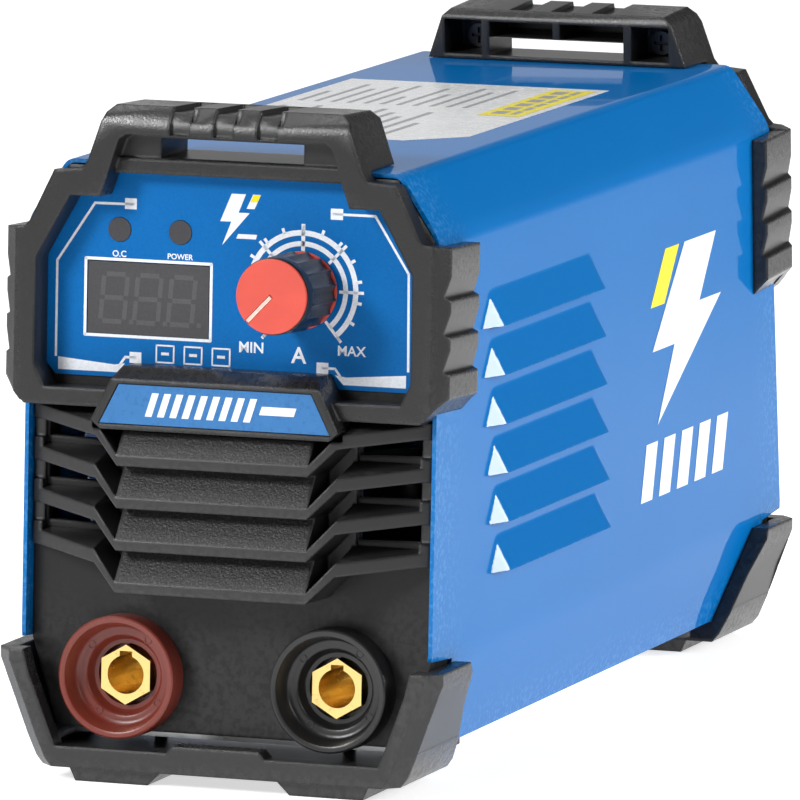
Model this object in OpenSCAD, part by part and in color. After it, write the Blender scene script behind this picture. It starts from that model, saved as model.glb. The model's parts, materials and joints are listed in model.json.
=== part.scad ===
// Stick welding inverter: folded steel case, moulded front and rear ends, and the power electronics inside.
// Case frame: X to the right, Y from front to back, Z up; its zero is the cover's lower front edge.
// Everything is drawn in the case frame, then placed() moves it so that the feet stand on Z = 0.

/* [Case] */
// Width of the sheet steel case
case_w = 104; // [100:1:110]
// Height of the flat part of each side
side_h = 123.5; // [118:0.5:126]
// Height of the flat top
top_h = 138.5; // [134:0.5:142]
// Width of the sloping shoulder between side and top
shoulder_w = 10; // [6:0.5:12]
// Length of the case along its bottom edge
case_l = 252; // [240:1:270]
// Height at which the sides start to slope inward to the base
tuck_h = 24; // [20:1:28]
// How far each side slopes inward at the base
tuck_w = 7.5; // [5:0.5:9]
// Thickness of the steel cover
sheet_t = 1; // [0.8:0.1:1.5]
// Height of the case above the surface that it stands on
foot_drop = 8.4; // [7:0.1:10]

/* [Controls] */
// Sideways place of the current knob
knob_x = 17; // [14:0.5:20]
// Height of the current knob
knob_z = 110.2; // [106:0.2:112]
// Radius of the knob's grip
knob_r = 9.2; // [8:0.1:10]
// How far the knob stands out from the control label
knob_reach = 20; // [16:0.5:22]
// Turn of the pointer from straight up to its lowest setting
pointer_turn = 136; // [130:1:140]

/* [Sockets] */
// Sideways place of each welding socket
socket_x = 26.8; // [25:0.1:28]
// Height of the welding sockets
socket_z = 16.5; // [16:0.5:18]
// Radius of a socket's collar
collar_r = 14.7; // [14:0.1:15]
// Radius of the brass bore that takes the cable plug's 9 mm pin
pin_bore_r = 4.6; // [4.55:0.01:4.7]

/* [Louvres] */
// Number of pressed louvres in each side
louvre_count = 6; // [4:1:6]
// Distance from one side louvre to the next
louvre_pitch = 11.8; // [11:0.1:12.5]
// Distance from one front slat to the next
slat_pitch = 10; // [9:0.1:10.5]

/* [Fan] */
// Width of the square fan frame
fan_w = 80; // [60:1:80]
// Depth of the fan frame
fan_d = 25; // [15:1:25]
// Number of fan blades
blade_count = 7; // [5:1:9]

/* [Hidden] */
$fn = 48;

half_w = case_w / 2;
gap = 0.2;                                  // ordinary assembly gap
lean_a = atan(0.05);                        // backward lean of the front, and forward lean of the rear
rear_rise = 0.1;                            // the cover's rear edge moves forward this much per mm of height
rear_y = 248;                               // the rear moulding's datum plane at the base
cham_a = atan(shoulder_w / (top_h - side_h));
tuck_a = atan(tuck_w / tuck_h);
face_y = -6;                                // front face of the guards
label_y = 2;                                // face of the control label
plate_y = 4;                                // face of the lower front panel
knob_face = label_y - knob_reach;
tab_turn = 150;                             // turn of the knob's tab from straight up
tab_back = 11;                              // the tab's depth behind the knob's face
front_end = knob_face * cos(lean_a) + (knob_z - knob_r) * sin(lean_a);
gland_tip = -21;                            // outer end of the cable gland in the rear frame
gland_x = -22;
gland_z = 108;
gland_cap_r = 10.5;
rear_end_y = rear_y - gland_tip * cos(lean_a) - (gland_z - gland_cap_r) * sin(lean_a);
mid_y = (front_end + rear_end_y) / 2;

foot_rear_y = 245.6;                        // where the rear foot guard's own zero lies
foot_screw_y = 20;                          // foot screws, measured from each foot guard's zero
foot_screw_x = 24;
cover_screw_y = [44, 208];
bezel_low = 80.8;
bumper_low = 84.5;
bumper_top = 122.3;
bumper_x = 56;                              // side face of the bumpers
handle_base = 138.8;
handle_top = 152.2;
handle_back = 15.5;
slot_x = 18;
slot_low = 139.8;                           // the strap slot runs level, so a strap passes straight through
slot_high = 144.4;

panel_low = 3.4;                            // lower edge of the front and rear panels
slat_high = 77.2;                           // height of the topmost slat
slat_low = slat_high - 3 * slat_pitch;       // height of the lowest slat
display_x = [-37.3, -6.6];                  // sides of the display window
board_z = 12;
lens_x = [-29.4, -14];
lens_z = 122.2;
transformer_x = -19;
switch_x = 21;
switch_z = 108;
stud_x = 0;
stud_z = 92;
fan_z = 45.5;
fan_y = 6.7;                                // near face of the fan, inward of the rear panel
fan_bore_r = fan_w / 2 - 2;
rotor_gap = 0.06;                           // radial running clearance of the fan shaft

// ---- placing and drawing helpers ----
module placed() translate([0, -mid_y, foot_drop]) children();
module lean() placed() rotate([-lean_a, 0, 0]) children();
module rear() placed() translate([0, rear_y, 0]) mirror([0, 1, 0]) rotate([-lean_a, 0, 0]) children();
module both_sides() { children(); mirror([1, 0, 0]) children(); }
// Prisms from a section in X and Z, a section in Y and Z, and a section in X and Y
module across(points, y0, y1) translate([0, y1, 0]) rotate([90, 0,
    0]) linear_extrude(y1 - y0) polygon(points);
module along_x(points, x0, x1) translate([x0, 0, 0]) rotate([90, 0,
    90]) linear_extrude(x1 - x0) polygon(points);
module plan(points, z0, z1) translate([0, 0, z0]) linear_extrude(z1 - z0) polygon(points);
module box(x0, x1, y0, y1, z0, z1) translate([x0, y0, z0]) cube([x1 - x0, y1 - y0, z1 - z0]);
// A rod along Y from y0 to y1
module rod(x, z, r, y0, y1) translate([x, y1, z]) rotate([90, 0, 0]) cylinder(r = r, h = y1 - y0);
// A six-sided bar along Y, r to its corners
module hex_rod(x, z, r, y0, y1) translate([x, y1, z]) rotate([90, 0, 0]) cylinder(r = r, h = y1 - y0,
    $fn = 6);
// A screw along Z with its pan head below
module screw_up(x, y, z, head_r, head_h, r, l) translate([x, y, z]) {
    difference() {
        translate([0, 0, -head_h]) cylinder(r = head_r, h = head_h);
        translate([-head_r * 0.7, -0.4, -head_h - 1]) cube([head_r * 1.4, 0.8, 1.8]);
        translate([-0.4, -head_r * 0.7, -head_h - 1]) cube([0.8, head_r * 1.4, 1.8]);
    }
    cylinder(r = r, h = l);
}
function mirrored(half) = concat(half, [for (i = [len(half) - 1:-1:0]) [-half[i][0], half[i][1]]]);
// Right half of the case section, moved inward by g, from height low to the top
function case_half(g, low) = [
    [half_w - tuck_w + low * tan(tuck_a) - g / cos(tuck_a), low],
    [half_w - g, tuck_h + g * tan(tuck_a / 2)],
    [half_w - g, side_h - g * tan(cham_a / 2)],
    [half_w - shoulder_w - g * tan((90 - cham_a) / 2), top_h - g]];
function case_section(g, low) = mirrored(case_half(g, low));

// ---- sheet steel ----
// One pressed side louvre at height z, open at its lower lip
module hood(z, y0, out, grow) {
    low = z - grow;
    high = z + 10;
    difference() {
        across([[half_w - 1 - grow, low], [half_w + out - grow, low], [half_w + out - grow, low + 1.5],
            [half_w - grow * 0.7, high - grow * 2], [half_w - 1 - grow, high - grow * 2]], y0 + grow,
                y0 + 82 - grow);
        translate([half_w, y0 + grow * 1.4, low]) rotate([42, 0, 28]) translate([-9, -12, -5]) cube([20,
            12, 40]);
        translate([half_w, y0 + 82 - grow * 1.4, low]) rotate([-46, 0, -45]) translate([-9, 0,
            -5]) cube([24, 12, 40]);
    }
}
module louvre_side(out, grow)
    for (i = [0:louvre_count - 1])
        hood(97.5 - i * louvre_pitch, 34 + i * 0.9, out, grow);
module cover_profile() along_x([[0, 0], [case_l, 0], [case_l - top_h * rear_rise - 0.1, top_h + 1],
    [(top_h + 1) * 0.05, top_h + 1]], -half_w - 1, half_w + 1);
module cover() color("royalblue") placed() {
    difference() {
        union() {
            difference() {
                intersection() {
                    across(case_section(0, 0), -1, case_l + 1);
                    cover_profile();
                }
                across(case_section(sheet_t, -1), -2, case_l + 2);
                both_sides() cover_notch();
                both_sides() translate([0, case_l, 0]) mirror([0, 1, 0]) cover_notch();
            }
            both_sides() louvre_side(3.6, 0);
            both_sides() box(34, half_w - tuck_w - 0.6, 34, case_l - 34, 0, sheet_t);
        }
        both_sides() louvre_side(3.6, 0.9);
        for (y = cover_screw_y) both_sides() translate([39, y, -1]) cylinder(r = 2.2, h = 4);
    }
}
// The lower corner of the cover that the foot guard takes the place of
module cover_notch() along_x([[-1, -1], [24, -1], [15, tuck_h], [-1, tuck_h]], 30, half_w + 1);
module base_tray() color("silver") placed() difference() {
    union() {
        box(-half_w + tuck_w + 3, half_w - tuck_w - 3, 9, 236, sheet_t + gap, sheet_t + gap + 1.2);
        both_sides() intersection() {
            difference() {
                across(case_section(sheet_t + gap, 0), 9, 236);
                across(case_section(sheet_t + gap + 1.2, -1), 8, 237);
            }
            box(20, half_w, 28, 224, sheet_t + gap, 14);
        }
    }
    for (y = cover_screw_y) both_sides() translate([39, y, -1]) cylinder(r = 1.7, h = 6);
    for (y = [foot_screw_y, foot_rear_y - foot_screw_y]) both_sides()
        translate([foot_screw_x, y, -1]) cylinder(r = 1.7, h = 6);
    for (p = standoff_places) translate([p[0], p[1], -1]) cylinder(r = 1.6, h = 6);
}
module cover_screws() color("dimgray") placed()
    for (y = cover_screw_y) both_sides() screw_up(39, y, -gap, 3.6, 2.2, 1.65, 9);

// ---- front mouldings ----
// Saw-tooth grip along a bumper's side, from its lower end up
teeth = [[53.5, bumper_low], [bumper_x, 87], [bumper_x, 92.5], [bumper_x - 1.3, 93.2], [bumper_x, 98.3],
    [bumper_x, 101.3], [bumper_x - 1.3, 102], [bumper_x, 107], [bumper_x, 110], [bumper_x - 1.3, 110.7],
    [bumper_x, 115.5], [bumper_x, bumper_top]];
bezel_half = concat([[50, bezel_low]], teeth, [[50.2, bumper_top + 0.6], [49, 124.2], [43, 136.4], [36,
    137], [34.6, handle_base],
    [30.6, 150.4], [28.6, handle_top]]);
opening_half = [[45, 85], [47.5, 90], [47.5, 115.5], [39, 130.5], [31.5, 130.5], [29.5, 136]];
recess_half = [[29.6, 135.9], [26.9, 144.2], [25, 145.4]];
plate_half = [[29.3, 77.4], [24.4, 87.1]];
frame_half = [[28.8, 76.2], [31.2, 78.2], [24.8, 90.8]];
bumper_section = concat([[48, bumper_low - 3], [51, bumper_low - 3]], teeth, [[48, bumper_top]]);
bumper_plan = [[44, face_y], [52.6, face_y], [bumper_x, face_y + 3.4], [bumper_x, 16], [half_w + gap, 16],
    [half_w + gap, -0.3], [44, -0.3]];
// The case's own shape, with a little clearance, seen from the leaning frame of a guard
module case_block() rotate([lean_a, 0, 0]) across(case_section(-gap, 0), -8, 40);
module bumper() difference() {
    intersection() {
        across(bumper_section, face_y - 1, 18);
        plan(bumper_plan, 70, 130);
    }
    intersection() {
        case_block();
        box(-60, 60, -0.3, 30, 70, 130);
    }
}
module guard_shell() {
    // bezel in front of the case edge
    intersection() {
        across(mirrored(bezel_half), face_y, -0.3);
        union() {
            plan(mirrored([[52.6, face_y], [bumper_x, face_y + 3.4], [bumper_x, -0.3]]), 70, 124);
            box(-52, 52, face_y, 0, 120, 160);
        }
    }
    // collar inside the case edge
    intersection() {
        across(case_section(sheet_t + gap, 0), -0.3, label_y - 0.1);
        box(-half_w, half_w, -1, label_y, bezel_low + 1, top_h);
    }
    both_sides() bumper();
    // handle over the top of the case
    difference() {
        intersection() {
            across(mirrored([[35, handle_base - 1], [34.6, handle_base], [30.6, 150.4], [28.6,
                handle_top]]), -0.4, handle_back);
            along_x([[-1, 130], [handle_back, 130], [handle_back, handle_top - 2], [handle_back - 2,
                handle_top + 1],
                [-1, handle_top + 1]], -40, 40);
        }
        case_block();
    }
}
// The hollows in the handle: the strap slot, the two screw pockets and the two relief pockets
module handle_hollows() {
    rotate([lean_a, 0, 0]) box(-slot_x, slot_x, face_y - 1, handle_back + 12, slot_low, slot_high);
    both_sides() box(slot_x + 2, 30, 3, handle_back + 1, handle_base + 2, 149.6);
    both_sides() box(0.9, slot_x, 1.5, handle_back + 1, 145.4, 149.4);
    both_sides() rod(24.5, 144, 1.7, 0, 4);
}
// Raised and lowered steps along the handle's top
module handle_steps() for (x = [-14, -3, 8]) {
    along_x([[face_y - 1, 145.6], [face_y + 0.9, 145.6], [face_y + 0.9, 148.6], [face_y + 2.6,
        handle_top - 1.2],
        [handle_back - 3, handle_top - 1.2], [handle_back - 1, handle_top + 1], [face_y - 1,
            handle_top + 1]], x, x + 5);
    along_x([[face_y - 1, 148.9], [face_y + 1.6, 148.9], [face_y + 3, handle_top - 0.4],
        [face_y + 3, handle_top + 1], [face_y - 1, handle_top + 1]], x + 5, x + 6.2);
}
module guard_body() difference() {
    guard_shell();
    across(mirrored(opening_half), face_y - 1, label_y + 1);
    across(mirrored(recess_half), face_y - 1, -1);
    handle_hollows();
    handle_steps();
    // sloping front edge of the handle's top
    along_x([[face_y - 1, 147.6], [face_y, 148.2], [face_y + 3, handle_top], [face_y + 3, handle_top + 2],
        [face_y - 1, handle_top + 2]], -40, 40);
}
// The ledge under the strap slot that the label's top edge meets
module slot_ledge() {
    box(-29, 29, -2.2, -0.3, 136, slot_low - 0.2);
    box(-29, 29, -0.4, label_y - 0.1, 136, top_h - sheet_t - gap - 0.2);
}
module front_guard() color("#2b2b2d") lean() {
    guard_body();
    slot_ledge();
    // raised frame of the nameplate
    difference() {
        across(mirrored(frame_half), -10, label_y - 0.1);
        along_x([[-11, 87.6], [-10, 88], [face_y, 90.9], [face_y, 95], [-11, 95]], -40, 40);
        across(mirrored(plate_half), -11, -9);
        across(mirrored([[48, 60], [48, bezel_low + 0.7]]), -0.4, label_y + 1);
    }
}
module rear_guard() color("#2b2b2d") rear() mirror([1, 0, 0]) {
    difference() {
        guard_body();
        across(mirrored([[60, 80], [60, 85.4]]), -0.4, label_y + 1);
    }
    slot_ledge();
}
foot_outer = [[bumper_x, 22.6], [bumper_x, 20], [52.2, 11], [49.2, 2], [47, -3], [45.4, -5]];
foot_inner = [[50.9, 22.6], [48.9, 22.6], [47.5, 17], [44.5, 9], [41, 0], [12.5, 0], [11, 1.7]];
foot_side = [[face_y, -5], [face_y, 22.6], [16.5, 22.6], [27, 0], [29, -5]];
module foot_guard_body() {
    difference() {
        intersection() {
            union() {
                across(mirrored([for (i = [5:-1:0]) foot_outer[i]]), -2, 30);
                hull() {
                    across(mirrored([for (i = [5:-1:0]) foot_outer[i]]), -2, -1.9);
                    across(mirrored([for (i = [5:-1:0]) foot_outer[i] - [3.6, 0]]), face_y + 0.6,
                        face_y + 0.7);
                }
            }
            along_x(foot_side, -60, 60);
        }
        across(concat([[-60, 30]], [for (p = foot_inner) [-p[0], p[1]]],
            [for (i = [6:-1:0]) foot_inner[i]], [[60, 30]]),
            face_y - 1, 0);
        across(case_section(-gap, -0.4), -0.5, 31);
        for (z = [3.2, 9.7, 17]) both_sides() foot_groove(z);
        both_sides() translate([foot_screw_x, foot_screw_y, -6]) cylinder(r = 2, h = 8);
        both_sides() translate([foot_screw_x, foot_screw_y, -9.5]) cylinder(r = 4, h = 7);
    }
    // feet
    both_sides() difference() {
        across([[14.5, -5], [18, -foot_drop], [36.4, -foot_drop], [38, -5], [38, -4.6], [14.5, -4.6]],
            -3.5, 27);
        translate([foot_screw_x, foot_screw_y, -9.5]) cylinder(r = 4, h = 7);
    }
}
// A sloping groove round a foot guard's side at height z
module foot_groove(z) translate([half_w - tuck_w + (z - 1) * 0.38 + 5.4, 0, z]) rotate([0, 22, 0])
    translate([-1.1, -20, -0.4]) cube([4, 60, 0.9]);
module front_foot_guard() color("#2b2b2d") placed() foot_guard_body();
module rear_foot_guard() color("#2b2b2d") placed() translate([0, foot_rear_y, 0]) mirror([0, 1,
    0]) foot_guard_body();
module guard_screws() color("dimgray") {
    lean() both_sides() guard_screw();
    rear() both_sides() guard_screw();
    placed() for (y = [foot_screw_y, foot_rear_y - foot_screw_y]) both_sides()
        screw_up(foot_screw_x, y, -2.5, 3.2, 2.2, 1.6, 5.4);
}
module guard_screw() difference() {
    union() {
        rod(24.5, 144, 3, 3.05, 5.2);
        rod(24.5, 144, 1.6, 0.2, 3.05);
    }
    box(22.5, 26.5, 4.2, 6, 143.6, 144.4);
    box(24.1, 24.9, 4.2, 6, 142, 146);
}
// One front slat: a bent shelf, its lower edge at height z, with the solid sloping face in its middle
module slat(z) intersection() {
    plan(mirrored([[50.6, 7], [50.6, 2], [30.5, -8.5], [24, -11]]), z - 30, z + 30);
    union() {
        // shelf
        across(concat([[-50.6, z + 3], [-30.5, z + 0.3], [-24, z - 7], [24, z - 7], [30.5, z + 0.3],
            [50.6, z + 3]],
            [[50.6, z - 0.2], [30.5, z - 2.9], [24, z - 9.6], [-24, z - 9.6], [-30.5, z - 2.9], [-50.6,
                z - 0.2]]),
            -12, plate_y + 2.5);
        // solid middle face
        along_x([[-11, z - 8], [-11, z - 7], [-5.2, z + 0.9], [plate_y + 2.5, z + 0.9], [plate_y + 2.5,
            z - 8]], -24.2, 24.2);
        // upturned ends
        both_sides() box(47.6, 50.6, 1, plate_y + 1, z - 0.5, z + 5);
    }
}
// The shelf's top on the right, which slopes back up to the vent above it
module slat_top(z) intersection() {
    along_x([[-8.4, z - 4], [-8.4, z + 0.25], [5, z + 3.85], [5, z - 4]], 30.5, 50.5);
    plan([[50.5, 7], [50.5, 2.1], [30.5, -8.35], [30.5, 7]], z - 30, z + 30);
    across([[30.5, z - 2.6], [50.5, z + 0.1], [50.5, z + 9], [30.5, z + 9]], -12, 7);
}
module front_panel() color("#222224") lean() {
    difference() {
        union() {
            across(case_section(sheet_t + gap, panel_low), plate_y, plate_y + 2.5);
            intersection() {
                across(case_section(sheet_t + gap, panel_low), label_y + 0.6, plate_y + 2.5);
                box(-half_w, half_w, 0, 10, 81, top_h);
            }
            difference() {
                across(case_section(sheet_t + gap, panel_low), plate_y, 15);
                across(case_section(sheet_t + gap + 1.8, panel_low + 1.8), 0, 16);
            }
        }
        // vents in the outer corners between the slats
        for (i = [1:3]) let (z = slat_high - i * slat_pitch) both_sides()
            across([[31.5, z + 4.8], [47.2, z + 5.3], [47.2, z + 9.1], [31.5, z + 6.9]], 0, 8);
        box(display_x[0] - 0.3, display_x[1] + 0.3, 0, 8, 96.4, 115.4);
        rod(knob_x, knob_z, 4, 0, 8);
        both_sides() rod(socket_x, socket_z, 12, 0, 18);
        for (x = lens_x) rod(x, lens_z, 3, 0, 8);
    }
}
// The slats in front of the vents, joined by a web behind their middle and by posts at their ends
module front_slats() color("#222224") lean() difference() {
    union() {
        for (i = [0:3]) slat(slat_high - i * slat_pitch);
        for (i = [0:3]) both_sides() slat_top(slat_high - i * slat_pitch);
        across(mirrored([[24, slat_low - 9], [31.3, slat_low - 2.5], [31.3, 76]]), plate_y - 1.2, plate_y);
        both_sides() box(47.6, 50.5, plate_y - 1.5, plate_y, slat_low, slat_high);
    }
    box(-60, 60, plate_y - 0.1, 20, 0, 100);
    box(-half_w, half_w, -12, plate_y, bezel_low - 0.2, 90);
    box(-31.6, 31.6, -12, plate_y, 76, 90);
}
// ---- control panel ----
label_half = [[45.2, 87.3], [47.9, 90.4], [47.9, 116], [39.4, 131], [31.7, 131], [30, 135.8]];
module control_label() color("dodgerblue") lean() difference() {
    across(mirrored(label_half), label_y, label_y + 0.5);
    rod(knob_x, knob_z, 4, 0, 4);
    box(display_x[0] - 0.2, display_x[1] + 0.2, 0, 4, 97.2, 114.7);
    for (x = lens_x) rod(x, lens_z, 2.95, 0, 4);
    across(mirrored(frame_half), 0, 4);
}
module display_window() color("#3a3a40") lean()
    box(display_x[0], display_x[1], label_y + 0.05, label_y + 0.65, 97.4, 114.5);
// Light pipes over the two indicator lamps
module indicator_lenses() color("#4a4a4e") lean() for (x = lens_x) {
    rod(x, lens_z, 2.85, label_y - 0.2, label_y + 0.7);
    rod(x, lens_z, 2.3, label_y + 0.7, 9.2);
}
module nameplate() color("steelblue") lean() across(mirrored([[29, 77.6], [24.2, 86.9]]), -9.8, -9.05);
// Generic mark on the case sides: a bolt of lightning over a row of slanted bars
module emblem() color("white") placed() both_sides() {
    along_x([[176, 102], [199, 102], [187, 86], [203, 86], [157, 59], [169, 77.5], [153, 77.5]],
        half_w + 0.02, half_w + 0.12);
    for (i = [0:4]) let (y = 145 + i * 13)
        along_x([[y, 41], [y + 8, 41], [y + 12, 55], [y + 4, 55]], half_w + 0.02, half_w + 0.12);
}

// Printed sticker on the top of the cover
module top_label() color("whitesmoke") placed()
    plan([[-36, 66], [20, 66], [32, 78], [32, 176], [-36, 176]], top_h + 0.02, top_h + 0.12);

// ---- knob and potentiometer ----
module at_knob(turn) translate([knob_x, 0, knob_z]) rotate([0, turn, 0]) children();
module knob_grip() color("#1c1f26") lean() difference() {
    translate([knob_x, label_y - 1.65, knob_z]) rotate([90, 0, 0])
        cylinder(r1 = knob_r + 0.2, r2 = knob_r - 0.1, h = label_y - 2.65 - knob_face);
    rod(knob_x, knob_z, 6.35, knob_face, label_y);
    at_knob(-tab_turn) box(-1.1, 1.1, knob_face, knob_face + tab_back + 0.1, 6, knob_r + 1);
    for (k = [0:15]) at_knob(k * 22.5) rod(0, knob_r + 2.3, 2.9, knob_face + 4, label_y);
}
module knob_core() color("orangered") lean() difference() {
    union() {
        rod(knob_x, knob_z, knob_r - 0.4, knob_face, knob_face + 0.95);
        rod(knob_x, knob_z, 6.3, knob_face + 0.9, label_y - 1.5);
        rod(knob_x, knob_z, knob_r, label_y - 1.6, label_y - 0.9);
        // rib with a pointed tab at its end
        at_knob(-tab_turn) box(-1, 1, knob_face + 0.4, knob_face + tab_back, 6, knob_r - 0.6);
        at_knob(-tab_turn) box(-1, 1, knob_face + tab_back - 2, knob_face + tab_back, 6, knob_r + 1.9);
    }
    rod(knob_x, knob_z, 3.0, knob_face + 5, label_y + 1);
    // pointer groove
    at_knob(-pointer_turn) box(-0.45, 0.45, knob_face - 1, knob_face + 0.4, 0, knob_r);
}
module pot_shaft() color("silver") lean() rod(knob_x, knob_z, 2.98, knob_face + 5.2, 15);
module pot_body() color("dimgray") lean() {
    difference() {
        union() {
            rod(knob_x, knob_z, 8.2, 9.3, 18);
            rod(knob_x, knob_z, 3.8, label_y - 0.7, 9.3);
        }
        rod(knob_x, knob_z, 3.04, 0, 15.5);
    }
    for (x = [-5, 0, 5]) box(knob_x + x - 0.5, knob_x + x + 0.5, 11.8, 12.3, knob_z - 13, knob_z - 7.5);
}
module pot_nut() color("silver") lean() difference() {
    hex_rod(knob_x, knob_z, 5.8, label_y - 0.6, label_y - 0.05);
    rod(knob_x, knob_z, 3.85, 0, 4);
}

// ---- welding sockets ----
module collar() difference() {
    union() {
        rod(0, socket_z, collar_r, -2.6, plate_y - 0.05);
        rod(0, socket_z, 11.7, plate_y - 0.05, 17);
    }
    rod(0, socket_z, 12.9, -4, 2.5);
    rod(0, socket_z, 9.5, 2.4, 5.2);
    translate([0, 0, socket_z]) rotate([0, 30, 0]) hex_rod(0, 0, 7.3, 5.1, 9);
    rod(0, socket_z, 6.3, 8, 18);
}
module insert() difference() {
    union() {
        translate([0, 0, socket_z]) rotate([0, 30, 0]) hex_rod(0, 0, 7.15, 3.8, 8.9);
        rod(0, socket_z, 6.1, 8.9, 27);
        rod(0, socket_z, 5, 27, 38);
    }
    rod(0, socket_z, pin_bore_r, 3, 25);
    // bayonet way
    box(-1.6, 1.6, 3, 25, socket_z + 2, socket_z + pin_bore_r + 1);
}
module positive_collar() color("#8c3228") lean() translate([-socket_x, 0, 0]) collar();
module negative_collar() color("#222224") lean() translate([socket_x, 0, 0]) collar();
module positive_insert() color("goldenrod") lean() translate([-socket_x, 0, 0]) insert();
module negative_insert() color("goldenrod") lean() translate([socket_x, 0, 0]) insert();
module socket_nuts() color("silver") lean() for (x = [-socket_x, socket_x]) {
    difference() {
        hex_rod(x, socket_z, 9.2, 30.2, 35);
        rod(x, socket_z, 5.05, 30, 36);
    }
    difference() {
        rod(x, socket_z, 9.6, 17.1, 18.6);
        rod(x, socket_z, 6.2, 17, 19);
    }
}
module busbar(x) {
    difference() {
        box(x - 7, x + 7, 27.2, 29.2, 9, 33);
        rod(x, socket_z, 5.15, 26, 30);
    }
    box(x - 7, x + 7, 29.2, 42, 31, 33);
    box(x - 7, x + 7, 40, 42, 18, 31);
}
module positive_busbar() color("peru") lean() busbar(-socket_x);
module negative_busbar() color("peru") lean() busbar(socket_x);

// ---- display electronics ----
module display_board() color("darkgreen") lean() difference() {
    box(-40, 36, 9.3 - 0.05, 10.8, 92, 128);
    rod(knob_x, knob_z, 8.5, 8, 12);
    for (x = lens_x) rod(x, lens_z, 0.8, 8, 12);
}
module display_module() color("#303034") lean()
    box(display_x[0] + 0.2, display_x[1] - 0.2, label_y + 0.8, 9.2, 97.6, 114.3);
cable_route = [[-20, 16.6, 100], [-20, 21, 99.4], [-19, 28, 95], [-17, 36, 91], [-15, 44, 88.5], [-14,
    52, 88.2], [-14, 60, 88.2]];
// A flat cable: a thin ribbon swept along the route
module ribbon(route, w, t) polyhedron(
    points = [for (p = route) for (s = [[-w, -t], [w, -t], [w, t], [-w, t]]) [p[0] + s[0] / 2, p[1],
        p[2] + s[1] / 2]],
    faces = concat([[3, 2, 1, 0]], [for (i = [0:len(route) - 2]) for (k = [0:3])
        [i * 4 + k, i * 4 + (k + 1) % 4, (i + 1) * 4 + (k + 1) % 4, (i + 1) * 4 + k]],
        [[for (k = [0:3]) (len(route) - 1) * 4 + k]]), convexity = 4);
module display_cable() color("lightgray") placed() {
    ribbon(cable_route, 16, 1.4);
    box(-29, -11, 60, 66, 85.8, 92);
}

// ---- rear ----
module rear_panel() color("#222224") rear() {
    difference() {
        union() {
            across(case_section(sheet_t + gap, panel_low), plate_y, plate_y + 2.5);
            difference() {
                across(case_section(sheet_t + gap, panel_low), label_y + 0.2, 10);
                across(case_section(sheet_t + gap + 1.6, panel_low + 1.8), 0, 16);
            }
        }
        rod(0, fan_z, fan_bore_r - 1, 0, 8);
        for (p = fan_corners) rod(p[0], p[1], 2.2, 0, 8);
        box(switch_x - 11.2, switch_x + 11.2, 0, 8, switch_z - 14.2, switch_z + 14.2);
        rod(gland_x, gland_z, 8.2, 0, 8);
        rod(stud_x, stud_z, 2.6, 0, 8);
    }
    // finger guard over the fan
    for (r = [12, 21, 30]) difference() {
        rod(0, fan_z, r + 1.2, plate_y, plate_y + 2);
        rod(0, fan_z, r - 1.2, 0, 8);
    }
    rod(0, fan_z, 5, plate_y, plate_y + 2);
    intersection() {
        rod(0, fan_z, fan_bore_r, plate_y + 0.4, plate_y + 2);
        union() for (k = [0:5]) translate([0, 0, fan_z]) rotate([0, k * 60 + 30, 0])
            translate([0, 0, 4]) box(-1.2, 1.2, plate_y, plate_y + 3, 0, fan_bore_r);
    }
}
fan_hole = fan_w / 2 - 4.25;
fan_corners = [for (x = [-1, 1]) for (z = [-1, 1]) [x * fan_hole, fan_z + z * fan_hole]];
module fan_frame() color("#1a1a1c") rear() difference() {
    union() {
        difference() {
            box(-fan_w / 2, fan_w / 2, fan_y, fan_y + fan_d, fan_z - fan_w / 2, fan_z + fan_w / 2);
            rod(0, fan_z, fan_bore_r, fan_y - 1, fan_y + fan_d + 1);
            for (a = [0:90:270]) translate([0, 0, fan_z]) rotate([0, a, 0])
                box(-fan_w / 2 + 9, fan_w / 2 - 9, fan_y + 3.5, fan_y + fan_d - 3.5, fan_bore_r + 1,
                    fan_w / 2 + 1);
        }
        rod(0, fan_z, 17, fan_y + fan_d - 4, fan_y + fan_d);
        rod(0, fan_z, 4, fan_y + 12, fan_y + fan_d - 2);
        intersection() {
            rod(0, fan_z, fan_bore_r + 1, fan_y + fan_d - 3, fan_y + fan_d);
            for (a = [45:90:315]) translate([0, 0, fan_z]) rotate([0, a, 0])
                box(-2, 2, fan_y + fan_d - 3, fan_y + fan_d, 10, fan_w / 2);
        }
    }
    for (p = fan_corners) rod(p[0], p[1], 2.15, fan_y - 1, fan_y + fan_d + 1);
    rod(0, fan_z, 1.5 + rotor_gap, fan_y + 5, fan_y + fan_d - 2);
}
module fan_rotor() color("#26262a") rear() {
    difference() {
        rod(0, fan_z, 17, fan_y + 2, fan_y + fan_d - 5);
        rod(0, fan_z, 15.4, fan_y + 4, fan_y + fan_d);
    }
    rod(0, fan_z, 1.5, fan_y + 3.5, fan_y + fan_d - 3);
    intersection() {
        difference() {
            rod(0, fan_z, fan_bore_r - 1.2, fan_y + 2, fan_y + fan_d - 5);
            rod(0, fan_z, 16.6, fan_y, fan_y + fan_d);
        }
        union() for (k = [0:blade_count - 1]) translate([0, fan_y + 11, fan_z]) rotate([0,
            k * 360 / blade_count, 0])
            rotate([0, 0, 38]) box(-1, 1, -14, 14, 15, fan_w / 2);
    }
}
module fan_screws() color("silver") rear() for (p = fan_corners) difference() {
    union() {
        rod(p[0], p[1], 3.6, plate_y - 2.4, plate_y - 0.05);
        rod(p[0], p[1], 2, plate_y - 0.1, fan_y + fan_d + 2);
    }
    box(p[0] - 2.4, p[0] + 2.4, plate_y - 3, plate_y - 1.4, p[1] - 0.4, p[1] + 0.4);
    box(p[0] - 0.4, p[0] + 0.4, plate_y - 3, plate_y - 1.4, p[1] - 2.4, p[1] + 2.4);
}
rocker_y = 4.5;                             // pivot of the rocker, inward of the rear datum
rocker_rest = 11;                           // tilt of the rocker when it is off
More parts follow.
